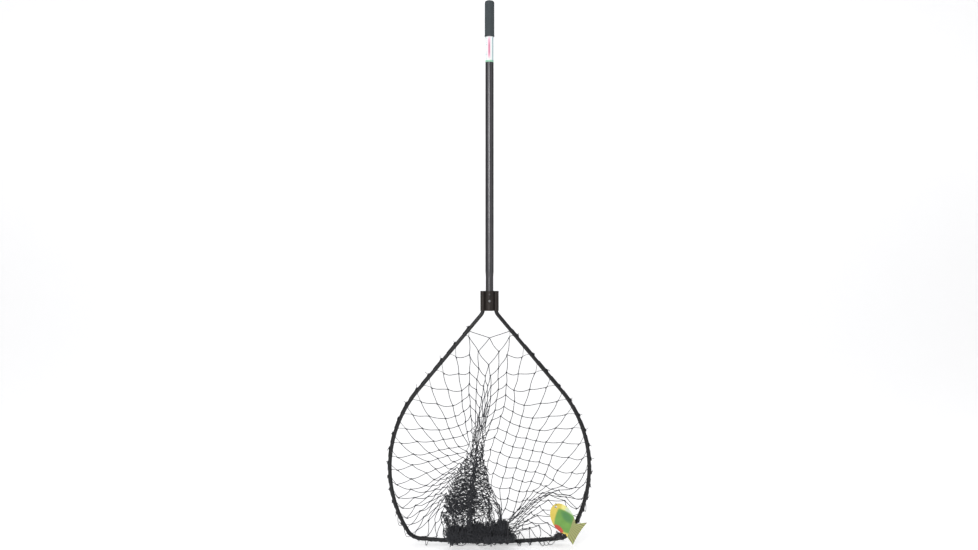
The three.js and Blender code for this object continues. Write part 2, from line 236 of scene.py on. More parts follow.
def tag_finish():
    """Printed card: yellow body, green diamond, red patch, striped fan tail, no lettering."""
    finish = Finish("tag_card", (0.8, 0.8, 0.5), 0.45, Coat_Weight=0.3)
    x, _, z = finish.axes()
    x = finish.math("DIVIDE", x, MM)
    z = finish.math("DIVIDE", z, MM)

    def line(from_x, from_z, across_x, across_z):
        """Distance along a direction from a point."""
        aside = finish.math("MULTIPLY", finish.math("SUBTRACT", x, from_x), across_x)
        upward = finish.math("MULTIPLY", finish.math("SUBTRACT", z, from_z), across_z)
        return finish.math("ADD", aside, upward)

    def patch(centre, wide, long, lean, soft, power=2.0):
        """1 inside a leaning oval (power 2) or diamond (power 1), 0 outside."""
        cos, sin = math.cos(math.radians(lean)), math.sin(math.radians(lean))
        across = finish.math("ABSOLUTE", line(*centre, cos / wide, sin / wide))
        along = finish.math("ABSOLUTE", line(*centre, -sin / long, cos / long))
        across = finish.math("POWER", across, power)
        along = finish.math("POWER", along, power)
        return finish.span(finish.math("ADD", across, along), 1 + soft, 1 - soft)

    # Each patch has its middle's x and z, its half width and half length in mm, and its lean in degrees.
    shade = finish.noise(60, 3)
    speckle = finish.ramp(finish.noise(420, 2), 0.5, 0.66)
    yellow = finish.mix(shade, (0.66, 0.47, 0.05), (0.8, 0.66, 0.12))
    pale_yellow = finish.mix(speckle, (0.85, 0.78, 0.2), (0.86, 0.86, 0.45))
    body = finish.mix(patch((190, -1214), 13, 16, 35, 0.35), yellow, pale_yellow)
    body = finish.mix(patch((200, -1226), 8, 20, 38, 0.4), body, (0.6, 0.72, 0.52))
    green = finish.mix(shade, (0.1, 0.27, 0.035), (0.2, 0.43, 0.07))
    green = finish.mix(patch((190, -1232), 9, 18, 40, 0.7), green, (0.07, 0.24, 0.06))
    body = finish.mix(patch((184, -1243), 27, 34, 24, 0.1, 1.25), body, green)
    body = finish.mix(patch((170, -1261), 6, 14, 48, 0.25), body, (0.58, 0.06, 0.025))
    turn = finish.math("ARCTAN2", line(0, -1236, 0, 1), line(176, 0, 1, 0))
    ribs = finish.span(finish.math("SINE", finish.math("MULTIPLY", turn, 58.0)), -0.4, 0.8)
    tail = finish.mix(ribs, (0.4, 0.46, 0.15), (0.22, 0.17, 0.08))
    on_tail = finish.span(line(200, -1257, 0.945, -0.328), -1.0, 0.0)
    finish.color(finish.mix(on_tail, body, tail))
    finish.bump(finish.noise(500, 2), 0.03 * MM, 0.4)
    return finish.material


def tube_finish():
    """Anodised tube: dark, with a satin sheen that stays off its sides."""
    edge = (0.12, 0.12, 0.12, 1)
    finish = Finish("tube_anodised", (0.2, 0.2, 0.21), 0.36, 1.0, Specular_Tint=edge)
    drawn = finish.noise(900, 2, stretch=(1, 1, 0.01))
    dark, light = (0.085, 0.085, 0.09), (0.12, 0.117, 0.122)
    return finish.coat(finish.noise(30, 3), dark, light, drawn, 0.26, 0.4, 0.04, 0.5)


def yoke_finish():
    finish = Finish("yoke_anodised", (0.02, 0.015, 0.013), 0.42, 0.5)
    streaks = finish.noise(700, 3, stretch=(1, 1, 0.03))
    dark, light = (0.013, 0.01, 0.009), (0.035, 0.026, 0.022)
    return finish.coat(finish.noise(60, 3), dark, light, streaks, 0.32, 0.55, 0.08, 0.5)


def hoop_finish():
    finish = Finish("hoop_black_coat", (0.006, 0.006, 0.007), 0.38, 0.0, Specular_IOR_Level=0.4)
    scuffs = finish.ramp(finish.noise(55, 5), 0.6, 0.72)
    finish.color(finish.mix(scuffs, (0.005, 0.005, 0.006), (0.02, 0.02, 0.022)))
    finish.roughness(finish.noise(240, 4), 0.26, 0.5)
    finish.bump(finish.noise(420, 3), 0.06 * MM, 0.5)
    return finish.material


def steel_finish(name, tone, roughness):
    finish = Finish(name, (tone, tone, tone * 1.02), roughness, 1.0)
    brushed = finish.noise(1800, 2, stretch=(1, 1, 0.1))
    dark, light, cloud = (tone * 0.85,) * 3, (tone,) * 3, finish.noise(300, 2)
    return finish.coat(cloud, dark, light, brushed, roughness - 0.08, roughness + 0.12, 0.02, 0.4)


# Radians of the twist for each metre along the twine, and for one turn round its three strands.
LAY_PITCH, LAY_STRANDS = 2200.0, 18.85


def twine_finish(name, dark, light, roughness=0.7):
    """Laid twine: the strands' twist comes from the mesh's own run and turn attributes."""
    finish = Finish(name, dark, roughness, Specular_IOR_Level=0.35, Sheen_Weight=0.15)
    run = finish.node("ShaderNodeAttribute", attribute_name="run").outputs["Fac"]
    turn = finish.node("ShaderNodeAttribute", attribute_name="turn").outputs["Fac"]
    along = finish.math("MULTIPLY", run, LAY_PITCH)
    phase = finish.math("ADD", along, finish.math("MULTIPLY", turn, LAY_STRANDS))
    lay_and_groove_shade = finish.math("MULTIPLY_ADD", finish.math("SINE", phase), 0.5, 0.5)
    mottled = finish.mix(finish.noise(260, 3), dark, light)
    # The strands' crowns are painted lighter and the grooves between them darker: painted highlight and
    # shade that follow the lay's bump.
    finish.color(finish.mix(finish.math("MULTIPLY", lay_and_groove_shade, 0.5), mottled, light))
    finish.bump(lay_and_groove_shade, 0.22 * MM, 0.8)
    return finish.material


GRIP = vinyl_finish()
LABEL = label_finish(*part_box("label_wrap"))
TAG = tag_finish()
TUBE = tube_finish()
YOKE = yoke_finish()
HOOP = hoop_finish()
BUTTON = steel_finish("button_bright_steel", 0.3, 0.4)
SPRING = steel_finish("spring_strip_steel", 0.5, 0.35)
PIN = steel_finish("pin_dull_steel", 0.3, 0.45)
NETTING = twine_finish("netting_twine", (0.012, 0.013, 0.017), (0.05, 0.053, 0.062))
# The gathered bag is the panel's own twine, given a darker colour as painted shade among its bunched
# folds.
SHADED_NETTING = twine_finish("netting_twine_painted_shade", (0.008, 0.009, 0.012), (0.04, 0.042, 0.05))
TIE_TWINE = twine_finish("tie_twine", (0.006, 0.006, 0.008), (0.022, 0.022, 0.027), 0.6)


# ---------------- mesh helpers
def add_object(name, mesh, material, body, replaced=()):
    """Links a mesh in, with its finish, its CAD body and the CAD nodes it stands for."""
    obj = link(name, mesh)
    mesh.materials.append(material)
    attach(obj, body)
    if replaced:
        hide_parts(*replaced)
    return obj


def size_of(vectors):
    """Lengths of a list of vectors, never quite 0."""
    return np.linalg.norm(vectors, axis=1) + 1e-9


def unit(vectors):
    return vectors / (np.linalg.norm(vectors, axis=-1, keepdims=True) + 1e-12)


def tube_parts(paths, radius, sides, closed=False):
    """Round tubes along paths, an array of (path, point, 3), all with as many points.

    Gives vertices, a list of faces, and each face corner's run along and turn round its tube."""
    paths = np.asarray(paths, float)
    count, points = paths.shape[:2]
    if closed:
        tangents = unit(np.roll(paths, -1, axis=1) - np.roll(paths, 1, axis=1))
    else:
        tangents = unit(np.gradient(paths, axis=1))
    upright = np.abs(tangents[:, 0, 2:3]) > 0.9
    aside = np.where(upright, [[1.0, 0.0, 0.0]], [[0.0, 0.0, 1.0]])
    normals = np.empty_like(paths)
    normals[:, 0] = unit(np.cross(tangents[:, 0], aside))
    for step in range(1, points):
        before, along = normals[:, step - 1], tangents[:, step]
        normals[:, step] = unit(before - along * np.sum(before * along, axis=1, keepdims=True))
    binormals = np.cross(tangents, normals)
    angle = 2 * math.pi * np.arange(sides) / sides
    cos, sin = np.cos(angle)[:, None], np.sin(angle)[:, None]
    ring = cos * normals[:, :, None] + sin * binormals[:, :, None]
    vertices = (paths[:, :, None] + radius * ring).reshape(-1, 3)
    index = np.arange(count * points * sides).reshape(count, points, sides)
    steps = np.linalg.norm(np.diff(paths, axis=1), axis=2)
    run = np.concatenate([np.zeros((count, 1)), np.cumsum(steps, axis=1)], axis=1)
    last = points if closed else points - 1
    here, there = index[:, :last], np.roll(index, -1, axis=1)[:, :last]
    quads = np.stack([here, np.roll(here, -1, axis=2), np.roll(there, -1, axis=2), there], axis=-1)
    low = np.broadcast_to(run[:, :last, None], (count, last, sides))
    high = low + np.linalg.norm(np.roll(paths, -1, axis=1) - paths, axis=2)[:, :last, None]
    share = np.broadcast_to(np.arange(sides) / sides, low.shape)
    runs = np.stack([low, low, high, high], axis=-1).ravel()
    turns = np.stack([share, share + 1 / sides, share + 1 / sides, share], axis=-1).ravel()
    faces = [quads.reshape(-1, 4)]
    if not closed:
        faces.append(np.concatenate([index[:, 0, ::-1], index[:, -1]]))
        spare = np.zeros(2 * count * sides)
        runs, turns = np.concatenate([runs, spare]), np.concatenate([turns, spare])
    return vertices, faces, runs, turns


def joined_mesh(name, parts):
    """One mesh in metres from several sets of tubes in millimetres."""
    vertices, faces, runs, turns = [], [], [], []
    first = 0
    for part_vertices, part_faces, part_runs, part_turns in parts:
        vertices.append(part_vertices)
        faces += [face + first for face in part_faces]
        runs.append(part_runs)
        turns.append(part_turns)
        first += len(part_vertices)
    sizes = np.concatenate([np.full(len(face), face.shape[1]) for face in faces])
    corners = np.concatenate([face.ravel() for face in faces])
    mesh = bpy.data.meshes.new(name)
    mesh.vertices.add(first)
    mesh.vertices.foreach_set("co", (np.concatenate(vertices) * MM).astype(np.float32).ravel())
    mesh.loops.add(len(corners))
    mesh.loops.foreach_set("vertex_index", corners.astype(np.int32))
    mesh.polygons.add(len(sizes))
    starts = np.concatenate([[0], np.cumsum(sizes)[:-1]])
    mesh.polygons.foreach_set("loop_start", starts.astype(np.int32))
    mesh.polygons.foreach_set("use_smooth", np.full(len(sizes), True))
    mesh.update(calc_edges=True)
    for key, values in (("run", np.concatenate(runs) * MM), ("turn", np.concatenate(turns))):
        attribute = mesh.attributes.new(key, "FLOAT", "CORNER")
        attribute.data.foreach_set("value", values.astype(np.float32))
    return mesh


def run_along(points):
    """Distance of every point of a polyline from its first."""
    return np.concatenate([[0], np.cumsum(np.linalg.norm(np.diff(points, axis=0), axis=1))])


def resampled(points, count):
    """The same polyline with count points at even spacing."""
    points = np.asarray(points, float)
    along = run_along(points)
    at = np.linspace(0, along[-1], count)
    return np.stack([np.interp(at, along, points[:, axis]) for axis in range(3)], axis=1)


def smooth_line(points, per_span=8):
    """Catmull-Rom curve through the points."""
    points = np.asarray(points, float)
    padded = np.vstack([2 * points[0] - points[1], points, 2 * points[-1] - points[-2]])
    t = np.arange(per_span)[:, None] / per_span
    spans = []
    for a, b, c, d in zip(padded, padded[1:], padded[2:], padded[3:]):
        spans.append(0.5 * (2 * b + (c - a) * t + (2 * a - 5 * b + 4 * c - d) * t**2
                            + (3 * b - a - 3 * c + d) * t**3))
    return np.vstack([*spans, points[-1:]])


def dress_cad(name, material, angle=40):
    """Gives a CAD node its finish and smooth shading across its shallow edges."""
    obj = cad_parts[name]
    obj.data.materials.clear()
    obj.data.materials.append(material)
    for polygon in obj.data.polygons:
        polygon.use_smooth = True
    obj.data.set_sharp_from_angle(angle=math.radians(angle))
    return obj


# ---------------- hoop centreline, in mm
ARM_X, ARM_TOP, ROD_RADIUS = 16.4, -681.0, 4.76
BEND_Z, BEND_RADIUS, LEAN = -731.0, 20.0, math.radians(40)
HALF_WIDTH, SIDE_RADIUS, CORNER_RADIUS = 248.2, 300.0, 40.0
BAR_Z, BAR_RADIUS = -1300.5, 1900.0
YOKE_BOTTOM = -726.5


def arc_points(centre, radius, start, end, count):
    angle = np.linspace(start, end, count)[1:]
    return np.asarray(centre) + radius * np.stack([np.cos(angle), np.sin(angle)], axis=1)


def half_hoop():
    """(x, z) along the right half of the rod, from its arm's end to the middle of the bottom bar."""
    start_z = BEND_Z + BEND_RADIUS * math.tan(LEAN / 2)
    bend = arc_points((ARM_X + BEND_RADIUS, start_z), BEND_RADIUS, math.pi, math.pi + LEAN, 14)
    side_x = HALF_WIDTH - SIDE_RADIUS * (1 - math.cos(LEAN))
    side_z = BEND_Z - (side_x - ARM_X) / math.tan(LEAN)
    side = np.array([HALF_WIDTH - SIDE_RADIUS, side_z - SIDE_RADIUS * math.sin(LEAN)])
    bottom = np.array([0.0, BAR_Z + BAR_RADIUS])
    to_side, to_bottom = SIDE_RADIUS - CORNER_RADIUS, BAR_RADIUS - CORNER_RADIUS
    apart = np.linalg.norm(bottom - side)
    along = math.atan2(bottom[1] - side[1], bottom[0] - side[0])
    swing = math.acos((to_side**2 + apart**2 - to_bottom**2) / (2 * to_side * apart))
    corner = side + to_side * np.array([math.cos(along - swing), math.sin(along - swing)])
    corner_start = -math.atan2(side[1] - corner[1], corner[0] - side[0])
    corner_end = -math.atan2(bottom[1] - corner[1], corner[0] - bottom[0])
    return np.vstack([
        [[ARM_X, ARM_TOP], [ARM_X, start_z]],
        bend,
        arc_points(side, SIDE_RADIUS, LEAN, corner_start, 80),
        arc_points(corner, CORNER_RADIUS, corner_start, corner_end, 26),
        arc_points(bottom, BAR_RADIUS, corner_end, -math.pi / 2, 40),
    ])


HALF_HOOP = half_hoop()
HALF_RUN = run_along(HALF_HOOP)


def hoop_at(distance):
    """Centreline point at a distance along the rod from the middle of its bottom bar, + to +X."""
    distance = np.asarray(distance, float)
    run = HALF_RUN[-1] - np.abs(distance)
    x = np.interp(run, HALF_RUN, HALF_HOOP[:, 0])
    z = np.interp(run, HALF_RUN, HALF_HOOP[:, 1])
    return np.stack([np.where(distance < 0, -x, x), np.zeros_like(x), z], axis=-1)


def hoop_outward(distance):
    """Unit normal of the rod in the hoop's plane, away from the opening."""
    ahead = hoop_at(distance + 1.0) - hoop_at(distance - 1.0)
    return unit(np.stack([ahead[..., 2], np.zeros_like(ahead[..., 0]), -ahead[..., 0]], axis=-1))


# ---------------- where the net is tied
# Distances are in mm along the rod from the middle of its bottom bar, + to +X.
BARE_BELOW_YOKE, FIRST_STEP = 68.7, 27.3
TIED_HALF = HALF_RUN[-1] - (ARM_TOP - YOKE_BOTTOM) - BARE_BELOW_YOKE
STEP_GROWTH = (TIED_HALF - FIRST_STEP * TIES_PER_SIDE) / TIES_PER_SIDE**4
TIE_NUMBERS = np.arange(TIES_PER_SIDE, -TIES_PER_SIDE - 1, -1)
TIE_SIDE = np.abs(TIE_NUMBERS)
TIE_AT = FIRST_STEP * TIE_NUMBERS + STEP_GROWTH * TIE_NUMBERS * TIE_SIDE**3.0
TIE_GAP = np.interp(TIE_SIDE, [0, 12, 15, 18, 21, 22], [8, 9, 15, 20, 21, 12])
LEG_LENGTH = np.interp(TIE_SIDE, [0, 12, 16, 21, 22], [18, 21, 25, 26, 12])

# Column 0 hangs from a twine stretched between the two arms; the others follow the ties
# from the top of the right side, along the bottom bar and up the left side.
COLUMNS = 2 * TIES_PER_SIDE + 2
ROWS = 54
RIM_ROWS, RIM_BAR, BAR = 2, 42.0, 25.4
TIED_A = np.vstack([hoop_at(-TIED_HALF - 6), hoop_at(TIE_AT + TIE_GAP / 2)])
TIED_B = np.vstack([hoop_at(TIED_HALF + 6), hoop_at(TIE_AT - TIE_GAP / 2)])
TOP_LEG = np.linalg.norm(TIED_A[0] - TIED_B[0]) / 2 * 1.04
LEGS = np.concatenate([[TOP_LEG], LEG_LENGTH])

# The gathered bag, by height: middle and half size across and front to back, and its fold's x.
CONE_Z = [
    -1310, -1250, -1217, -1188, -1163, -1138, -1113, -1088, -1065, -1043, -1000, -975, -950, -920, -880,
]
CONE_X = [-45, -45, -46, -47, -48, -48, -46, -40, -34, -29, -20, -17, -14, -8, -3]
CONE_WIDE = [73, 72, 67, 60, 52, 42, 34, 21, 13, 10, 12, 13, 19, 25, 32]
CONE_Y = [-43, -43, -45, -45, -45, -44, -43, -41, -39, -37, -31, -28, -22, -16, -9]
CONE_DEEP = [23, 22, 20, 18, 17, 16, 14, 12, 10, 8, 7, 7, 8, 9, 9]
FOLD_X = [-48, -48, -48, -47, -45, -42, -38, -34, -31, -28, -19, -16, -13, -8, -3]

# Where columns enter the gathered bag, (tie number from the bar's middle): x and z.
ENTRY_LEFT = {
    22: (-31, -1000), 19: (-37, -1037), 16: (-52, -1070), 13: (-76, -1105), 11: (-89, -1130),
    9: (-101, -1158), 6: (-111, -1188), 4: (-115, -1212), 1: (-100, -1235), 0: (-70, -1242),
}
ENTRY_RIGHT = {
    22: (-9, -1000), 20: (-11, -1030), 18: (-17, -1062), 16: (0, -1125), 15: (12, -1170),
    14: (38, -1228), 12: (52, -1237), 10: (60, -1249), 8: (64, -1258), 6: (66, -1266), 3: (62, -1276),
    1: (32, -1281), 0: (-21, -1274),
}
# The narrow top of the bag hangs between two plumb lines of knots; one knot of each high
# column lies on them, two rows further down for each column.
PLUMB_LEFT = {
    22: (-23, -5, -875), 21: (-53, -5, -887), 20: (-56, -8, -937), 19: (-48, -12, -985),
    18: (-42, -17, -1018),
}
PLUMB_RIGHT = {
    22: (19, -5, -872), 21: (41, -5, -887), 20: (37, -8, -940), 19: (21, -12, -981),
    18: (13, -16, -1033), 17: (0, -22, -1063), 16: (8, -20, -1103), 15: (17, -18, -1135),
}
# The low right side lies over a hump of bunched netting.
# Each point has its x and z and how much of a step down it takes from column to column.
HUMP = [
    (252, -1220, 0.3), (217, -1188, 0.7), (182, -1163, 1.0), (147, -1151, 1.0),
    (115, -1172, 0.9), (88, -1202, 0.6), (68, -1230, 0.3),
]
HUMP_STEP = 12.5
# The last rows of every column are bunched inside one lump of the pile.
LUMP_ENDS, LUMP_RADIUS, LUMP_ROWS = [(-4, -42, -1262), (38, -42, -1260)], 29.0, 6
# How far apart rows hang in the cone, by height, and the heights between which the pile lies.
PITCH_Z, PITCH = [-1200, -1130, -1060, -1000], [4.0, 7.0, 8.5, 14.0]
PILE_TOP, PILE_FLOOR = -1224.0, -1305.0
# Knots of the cone stand to either side of their column by SWING mm and DRIFT of the half width.
SWING, DRIFT = 19.0, 0.14
# Columns between these tie numbers are held along their whole route by soft pins.
PINNED_LOW, PINNED_HIGH = -12, 13
ROUTE_HOLD, ENTRY_HOLD, PLUMB_HOLD = 0.07, 0.12, 0.15
TOP_ENTRY, TOP_ROWS = (-17, -29, -978), 8
# The front fold of the cone keeps within FOLD_RADIUS of its line, below FOLD_TOP and above FOLD_ROWS.
FOLD_TOP, FOLD_RADIUS, FOLD_ROWS = -1010, 4, 42
# How much of the way back to its home place a knot of the cone or the pile goes in one step.
CONE_HOLD, PILE_HOLD, SHELL_HOLD = 0.15, 0.14, 0.3
# The fall: mm and seconds; knots closer than CLOSE are kept THICK apart, or THIN high in the net.
GRAVITY, DAMPING, TOP_SPEED, GRIP_OF_FLOOR = 9810, 0.97, 1500, 0.3
CLOSE, THICK, THIN = 14.0, 6.0, 5.0
BAR_REACH, BEHIND, IN_FRONT = 175, 14, -68


def cone_at(z):
    return tuple(np.interp(z, CONE_Z, values) for values in (CONE_X, CONE_WIDE, CONE_Y, CONE_DEEP))


def entry_point(number):
    table = ENTRY_LEFT if number < 0 else ENTRY_RIGHT
    keys = sorted(table)
    x, z = (np.interp(abs(number), keys, [table[key][axis] for key in keys]) for axis in (0, 1))
    _, _, y, deep = cone_at(z)
    return np.array([x, y if number < 0 else y + 0.6 * deep, z])


def along_line(points, distance):
    run = run_along(points)
    distance = np.clip(distance, 0, run[-1])
    return np.array([np.interp(distance, run, points[:, axis]) for axis in range(3)])


def line_length(points):
    return np.linalg.norm(np.diff(points, axis=0), axis=1).sum()


def plumb_point(number):
    return (PLUMB_LEFT if number < 0 else PLUMB_RIGHT).get(abs(number))


def plumb_row(number):
    return max(2, 2 * (TIES_PER_SIDE - abs(number)))


def column_route(number, start, end):
    """Way of one column of knots from its tie to the gathered bag, through listed points."""
    if 7 <= number <= 14:
        first = {7: 3, 8: 2}.get(number, 1)
        drop = HUMP_STEP * (number - 12)
        over = [(x, -7 - 1.5 * i, z + share * drop) for i, (x, z, share) in enumerate(HUMP[first:])]
        return np.array([start, *over, end])
    if 2 <= number < 7:
        ridge_x = start[0] - 22
        lift = {6: 14, 5: 7}.get(number, 0)
        ridge_z = -1275 + lift + 0.45 * (ridge_x - 68)
        return np.array([start, (ridge_x, -14, ridge_z), end])
    if -13 <= number <= -9:
        middle = (start + end) / 2 - [0, 0, 7.0 * (-8 - number)]
        return np.array([start, middle, end])
    plumb = plumb_point(number)
    return np.array([start, end] if plumb is None else [start, plumb, end])


def run_to_row(row):
    """Length of twine from a tie down to a row of knots."""
    if row < RIM_ROWS:
        return row * RIM_BAR
    return RIM_ROWS * RIM_BAR + (row - RIM_ROWS) * BAR


def net_links():
    """Bars in four groups in which no knot appears twice: their two knots and lengths."""
    groups = []
    for parity in (0, 1):
        for turn in (0, 1):
            rows = np.arange(parity, ROWS, 2)[:, None]
            columns = np.arange(COLUMNS)[None]
            other = columns + turn * (2 * parity - 1)
            upper = (rows * COLUMNS + columns).ravel()
            lower = ((rows + 1) * COLUMNS + other % COLUMNS).ravel()
            length = np.where(rows < RIM_ROWS, RIM_BAR, BAR) + 0 * columns
            groups.append((upper, lower, length.ravel()))
    return groups


class Netting:
    """Knots of the bag: where they start, what guides them, and their fall."""

    def __init__(self):
        self.random = np.random.default_rng(7)
        self.count = COLUMNS * (ROWS + 1)
        self.row = np.repeat(np.arange(ROWS + 1), COLUMNS)
        self.column = np.tile(np.arange(COLUMNS), ROWS + 1)
        self.links = net_links()
        self.ends = [np.array(TOP_ENTRY, float)] + [entry_point(number) for number in TIE_NUMBERS]
        middles = (TIED_A + TIED_B) / 2
        self.routes = [np.array([middles[0], self.ends[0]])]
        for i, number in enumerate(TIE_NUMBERS, start=1):
            self.routes.append(column_route(number, middles[i], self.ends[i]))
        self.lengths = np.array([line_length(route) for route in self.routes])
        self.free_rows = self.rows_to_entry()
        self.spread_columns()
        self.place_knots()

    def rows_to_entry(self):
        """How many rows of knots each column has before it enters the gathered bag."""
        slack = np.interp(TIE_SIDE, [0, 7, 12, 17, 19, 22], [0.92, 0.92, 0.88, 0.86, 0.84, 0.82])
        reach = self.lengths[1:] - 0.8 * LEG_LENGTH
        rows = RIM_ROWS + (reach - RIM_ROWS * RIM_BAR * slack) / (BAR * slack)
        return np.concatenate([[TOP_ROWS], np.maximum(2, np.round(rows)).astype(int)])

    def spread_columns(self):
        """Where each column reaches the pile, across and front to back, as shares of its half size."""
        drift = self.random.uniform(-0.16, 0.16, COLUMNS)
        self.across = np.zeros(COLUMNS)
        for i, number in enumerate(TIE_NUMBERS, start=1):
            ties, shares = ([1, 22], [-0.92, 0.0]) if number < 0 else ([15, 22], [0.92, 0.0])
            self.across[i] = np.interp(abs(number), ties, shares) + drift[i]
        self.deep = self.random.uniform(-0.7, 0.7, COLUMNS)

    def start_point(self, row, i):
        """Where a knot starts: on its column's route, or in the gathered bag."""
        i %= COLUMNS
        free = self.free_rows[i]
        if row <= free:
            done, whole = run_to_row(row) + 20, run_to_row(free) + 20
            return along_line(self.routes[i], self.lengths[i] * done / whole)
        return self.bag_point(row, i)

    def bag_point(self, row, i):
        """Down the hanging cone to the top of the pile, then back and forth inside the pile."""
        entry = self.ends[i]
        steps = row - self.free_rows[i]
        z = entry[2]
        while steps > 0 and z > PILE_TOP:
            z -= np.interp(z, PITCH_Z, PITCH)
            steps -= 1
        middle, wide, y, deep = cone_at(PILE_TOP)
        foot = np.array([middle + self.across[i] * wide, y + self.deep[i] * deep, PILE_TOP])
        if entry[2] <= PILE_TOP:
            foot = entry
        if steps <= 0 and z > PILE_TOP:
            done = (entry[2] - z) / (entry[2] - PILE_TOP)
            _, wide, y, deep = cone_at(z)
            settling = min(1, 4 * done)
            swing = min(SWING, 0.7 * wide) * (1 if i % 2 == 0 else -1)
            drift = DRIFT * wide * math.sin(2.4 * row + 1.7 * i)
            x = entry[0] + (foot[0] - entry[0]) * done**0.8 + settling * (swing + drift)
            y += (self.deep[i] + 0.3 * math.cos(1.9 * row + i)) * deep
            return np.array([x, (1 - settling) * entry[1] + settling * y, z])
        ahead = min(1, steps / max(1, ROWS - row + steps))
        lump_x = np.interp(math.sin(1.7 * i), [-1, 1], [LUMP_ENDS[0][0], LUMP_ENDS[1][0] + 14])
        x = foot[0] + (lump_x - foot[0]) * ahead**2
        sway = 1.9 * steps + 1.3 * i
        top = PILE_TOP + min(0, 0.3 * (x + 20)) + 7 * math.sin(3.1 * i)
        rise, low = 0.5 * (top + PILE_FLOOR), 0.5 * (top - PILE_FLOOR)
        y = -43 + 22 * math.cos(2.1 * i + row)
        return np.array([x + 14 * math.cos(sway), y, rise + low * math.sin(sway)])

    def place_knots(self):
        """Knots of odd rows stand midway between two columns, as the netting's diamonds need."""
        self.at = np.zeros((self.count, 3))
        for knot in range(self.count):
            row, i = self.row[knot], self.column[knot]
            here = self.start_point(row, i)
            self.at[knot] = here if row % 2 == 0 else (here + self.start_point(row, i + 1)) / 2
        self.home = self.at.copy()
        self.at += self.random.normal(0, 1.0, self.at.shape)

    def per_knot(self, values):
        """One value for each column, given to its knots."""
        after = values[(self.column + 1) % COLUMNS]
        return np.where(self.row % 2 == 1, (values[self.column] + after) / 2, values[self.column])

    def route_pins(self):
        """Places that soft pins hold the low columns to, and every column's entry to the bag."""
        knots, places, holds = [], [], []
        for i in range(COLUMNS):
            free = self.free_rows[i]
            low = i > 0 and PINNED_LOW <= TIE_NUMBERS[i - 1] <= PINNED_HIGH
            whole = run_to_row(free) + 15
            for row in range(1 if low else free, free + 1):
                share = (run_to_row(row) + 15) / whole
                place = along_line(self.routes[i], share * self.lengths[i])
                if row % 2 == 1:
                    beside = (i + 1) % COLUMNS
                    other = along_line(self.routes[beside], min(1, share) * self.lengths[beside])
                    place = (place + other) / 2
                knots.append(row * COLUMNS + i)
                places.append(place)
                holds.append(ROUTE_HOLD if low else ENTRY_HOLD)
        for i, number in enumerate(TIE_NUMBERS, start=1):
            plumb = plumb_point(number)
            if plumb is not None and plumb_row(number) < self.free_rows[i]:
                knots.append(plumb_row(number) * COLUMNS + i)
                places.append(np.array(plumb, float))
                holds.append(PLUMB_HOLD)
        return np.array(knots), np.array(places), np.array(holds)[:, None]

    def near_pairs(self, reach, joined):
        """Knots within reach of each other that share no bar."""
        at = self.at.astype(np.float32)
        squares = (at * at).sum(axis=1)
        found = []
        for start in range(0, self.count, 512):
            block = slice(start, start + 512)
            apart = squares[block, None] + squares[None] - 2 * at[block] @ at.T
            first, second = np.nonzero(apart < reach**2)
            first = first + start
            found.append(np.stack([first, second], axis=1)[first < second])
        pairs = np.concatenate(found)
        return pairs[~np.isin(pairs[:, 0] * self.count + pairs[:, 1], joined)]

    def column_height(self):
        """How many columns each knot's column is from the two highest, on either side."""
        height = np.concatenate([[0], TIES_PER_SIDE - TIE_SIDE])
        return self.per_knot(height.astype(float))

    def pull_legs(self):
        """No leg from a tie to the first row is longer than its twine."""
        for fixed in (TIED_A, TIED_B):
            away = self.at[:COLUMNS] - fixed
            length = np.linalg.norm(away, axis=1)
            share = np.where(length > LEGS, LEGS / length, 1)
            self.at[:COLUMNS] = fixed + away * share[:, None]

    def pull_bars(self):
        """No bar is longer than its twine, or folds to less than 0.3 of it."""
        for upper, lower, length in self.links:
            away = self.at[lower] - self.at[upper]
            apart = size_of(away)
            wanted = np.clip(apart, 0.3 * length, length)
            away *= (0.5 * (apart - wanted) / apart)[:, None]
            self.at[upper] += away
            self.at[lower] -= away

    def fall(self, seconds=1.0, step=1 / 500):
        """Let the net fall, with its bars, legs, pins and guides worked off again at every step."""
        entry = self.per_knot(self.free_rows.astype(float))
        self.in_bag, self.settled = self.row >= entry, self.row >= entry + 1
        self.in_lump = self.row >= ROWS - LUMP_ROWS
        edge_column = (self.column <= 1) | (self.column >= COLUMNS - 1)
        inside_from = np.where(self.column == 0, 3, 2.0 * self.column_height() + 3)
        self.in_waist = (self.row >= inside_from) & (self.column_height() < 6)
        self.in_fold = self.in_bag & edge_column & (self.row < FOLD_ROWS)
        thickness = np.where(self.in_bag & (self.row > 18), THICK, THIN)
        joined = [np.minimum(a, b) * self.count + np.maximum(a, b) for a, b, _ in self.links]
        joined = np.concatenate(joined)
        pins, pin_places, pin_hold = self.route_pins()
        speed = np.zeros_like(self.at)
        for tick in range(int(seconds / step)):
            speed[:, 2] -= GRAVITY * step
            speed *= DAMPING
            speed *= np.minimum(1, TOP_SPEED / size_of(speed))[:, None]
            before = self.at.copy()
            self.at += speed * step
            if tick % 10 == 0:
                pairs = self.near_pairs(CLOSE, joined)
                room = np.minimum(thickness[pairs[:, 0]], thickness[pairs[:, 1]])
            for _ in range(6):
                self.pull_legs()
                self.pull_bars()
            self.at[pins] += pin_hold * (pin_places - self.at[pins])
            self.part_knots(pairs, room)
            self.guide_bag()
            self.guide_fold()
            self.guide_lump()
            grounded = self.keep_off_floor_and_rod()
            speed = (self.at - before) / step
            speed[grounded, :2] *= GRIP_OF_FLOOR

    def part_knots(self, pairs, room):
        """Twine has thickness: knots that come too near each other are moved apart."""
        first, second = pairs.T
        away = self.at[second] - self.at[first]
        apart = size_of(away)
        away *= (0.5 * np.minimum(0, apart - room) / apart)[:, None]
        np.add.at(self.at, first, away)
        np.add.at(self.at, second, -away)

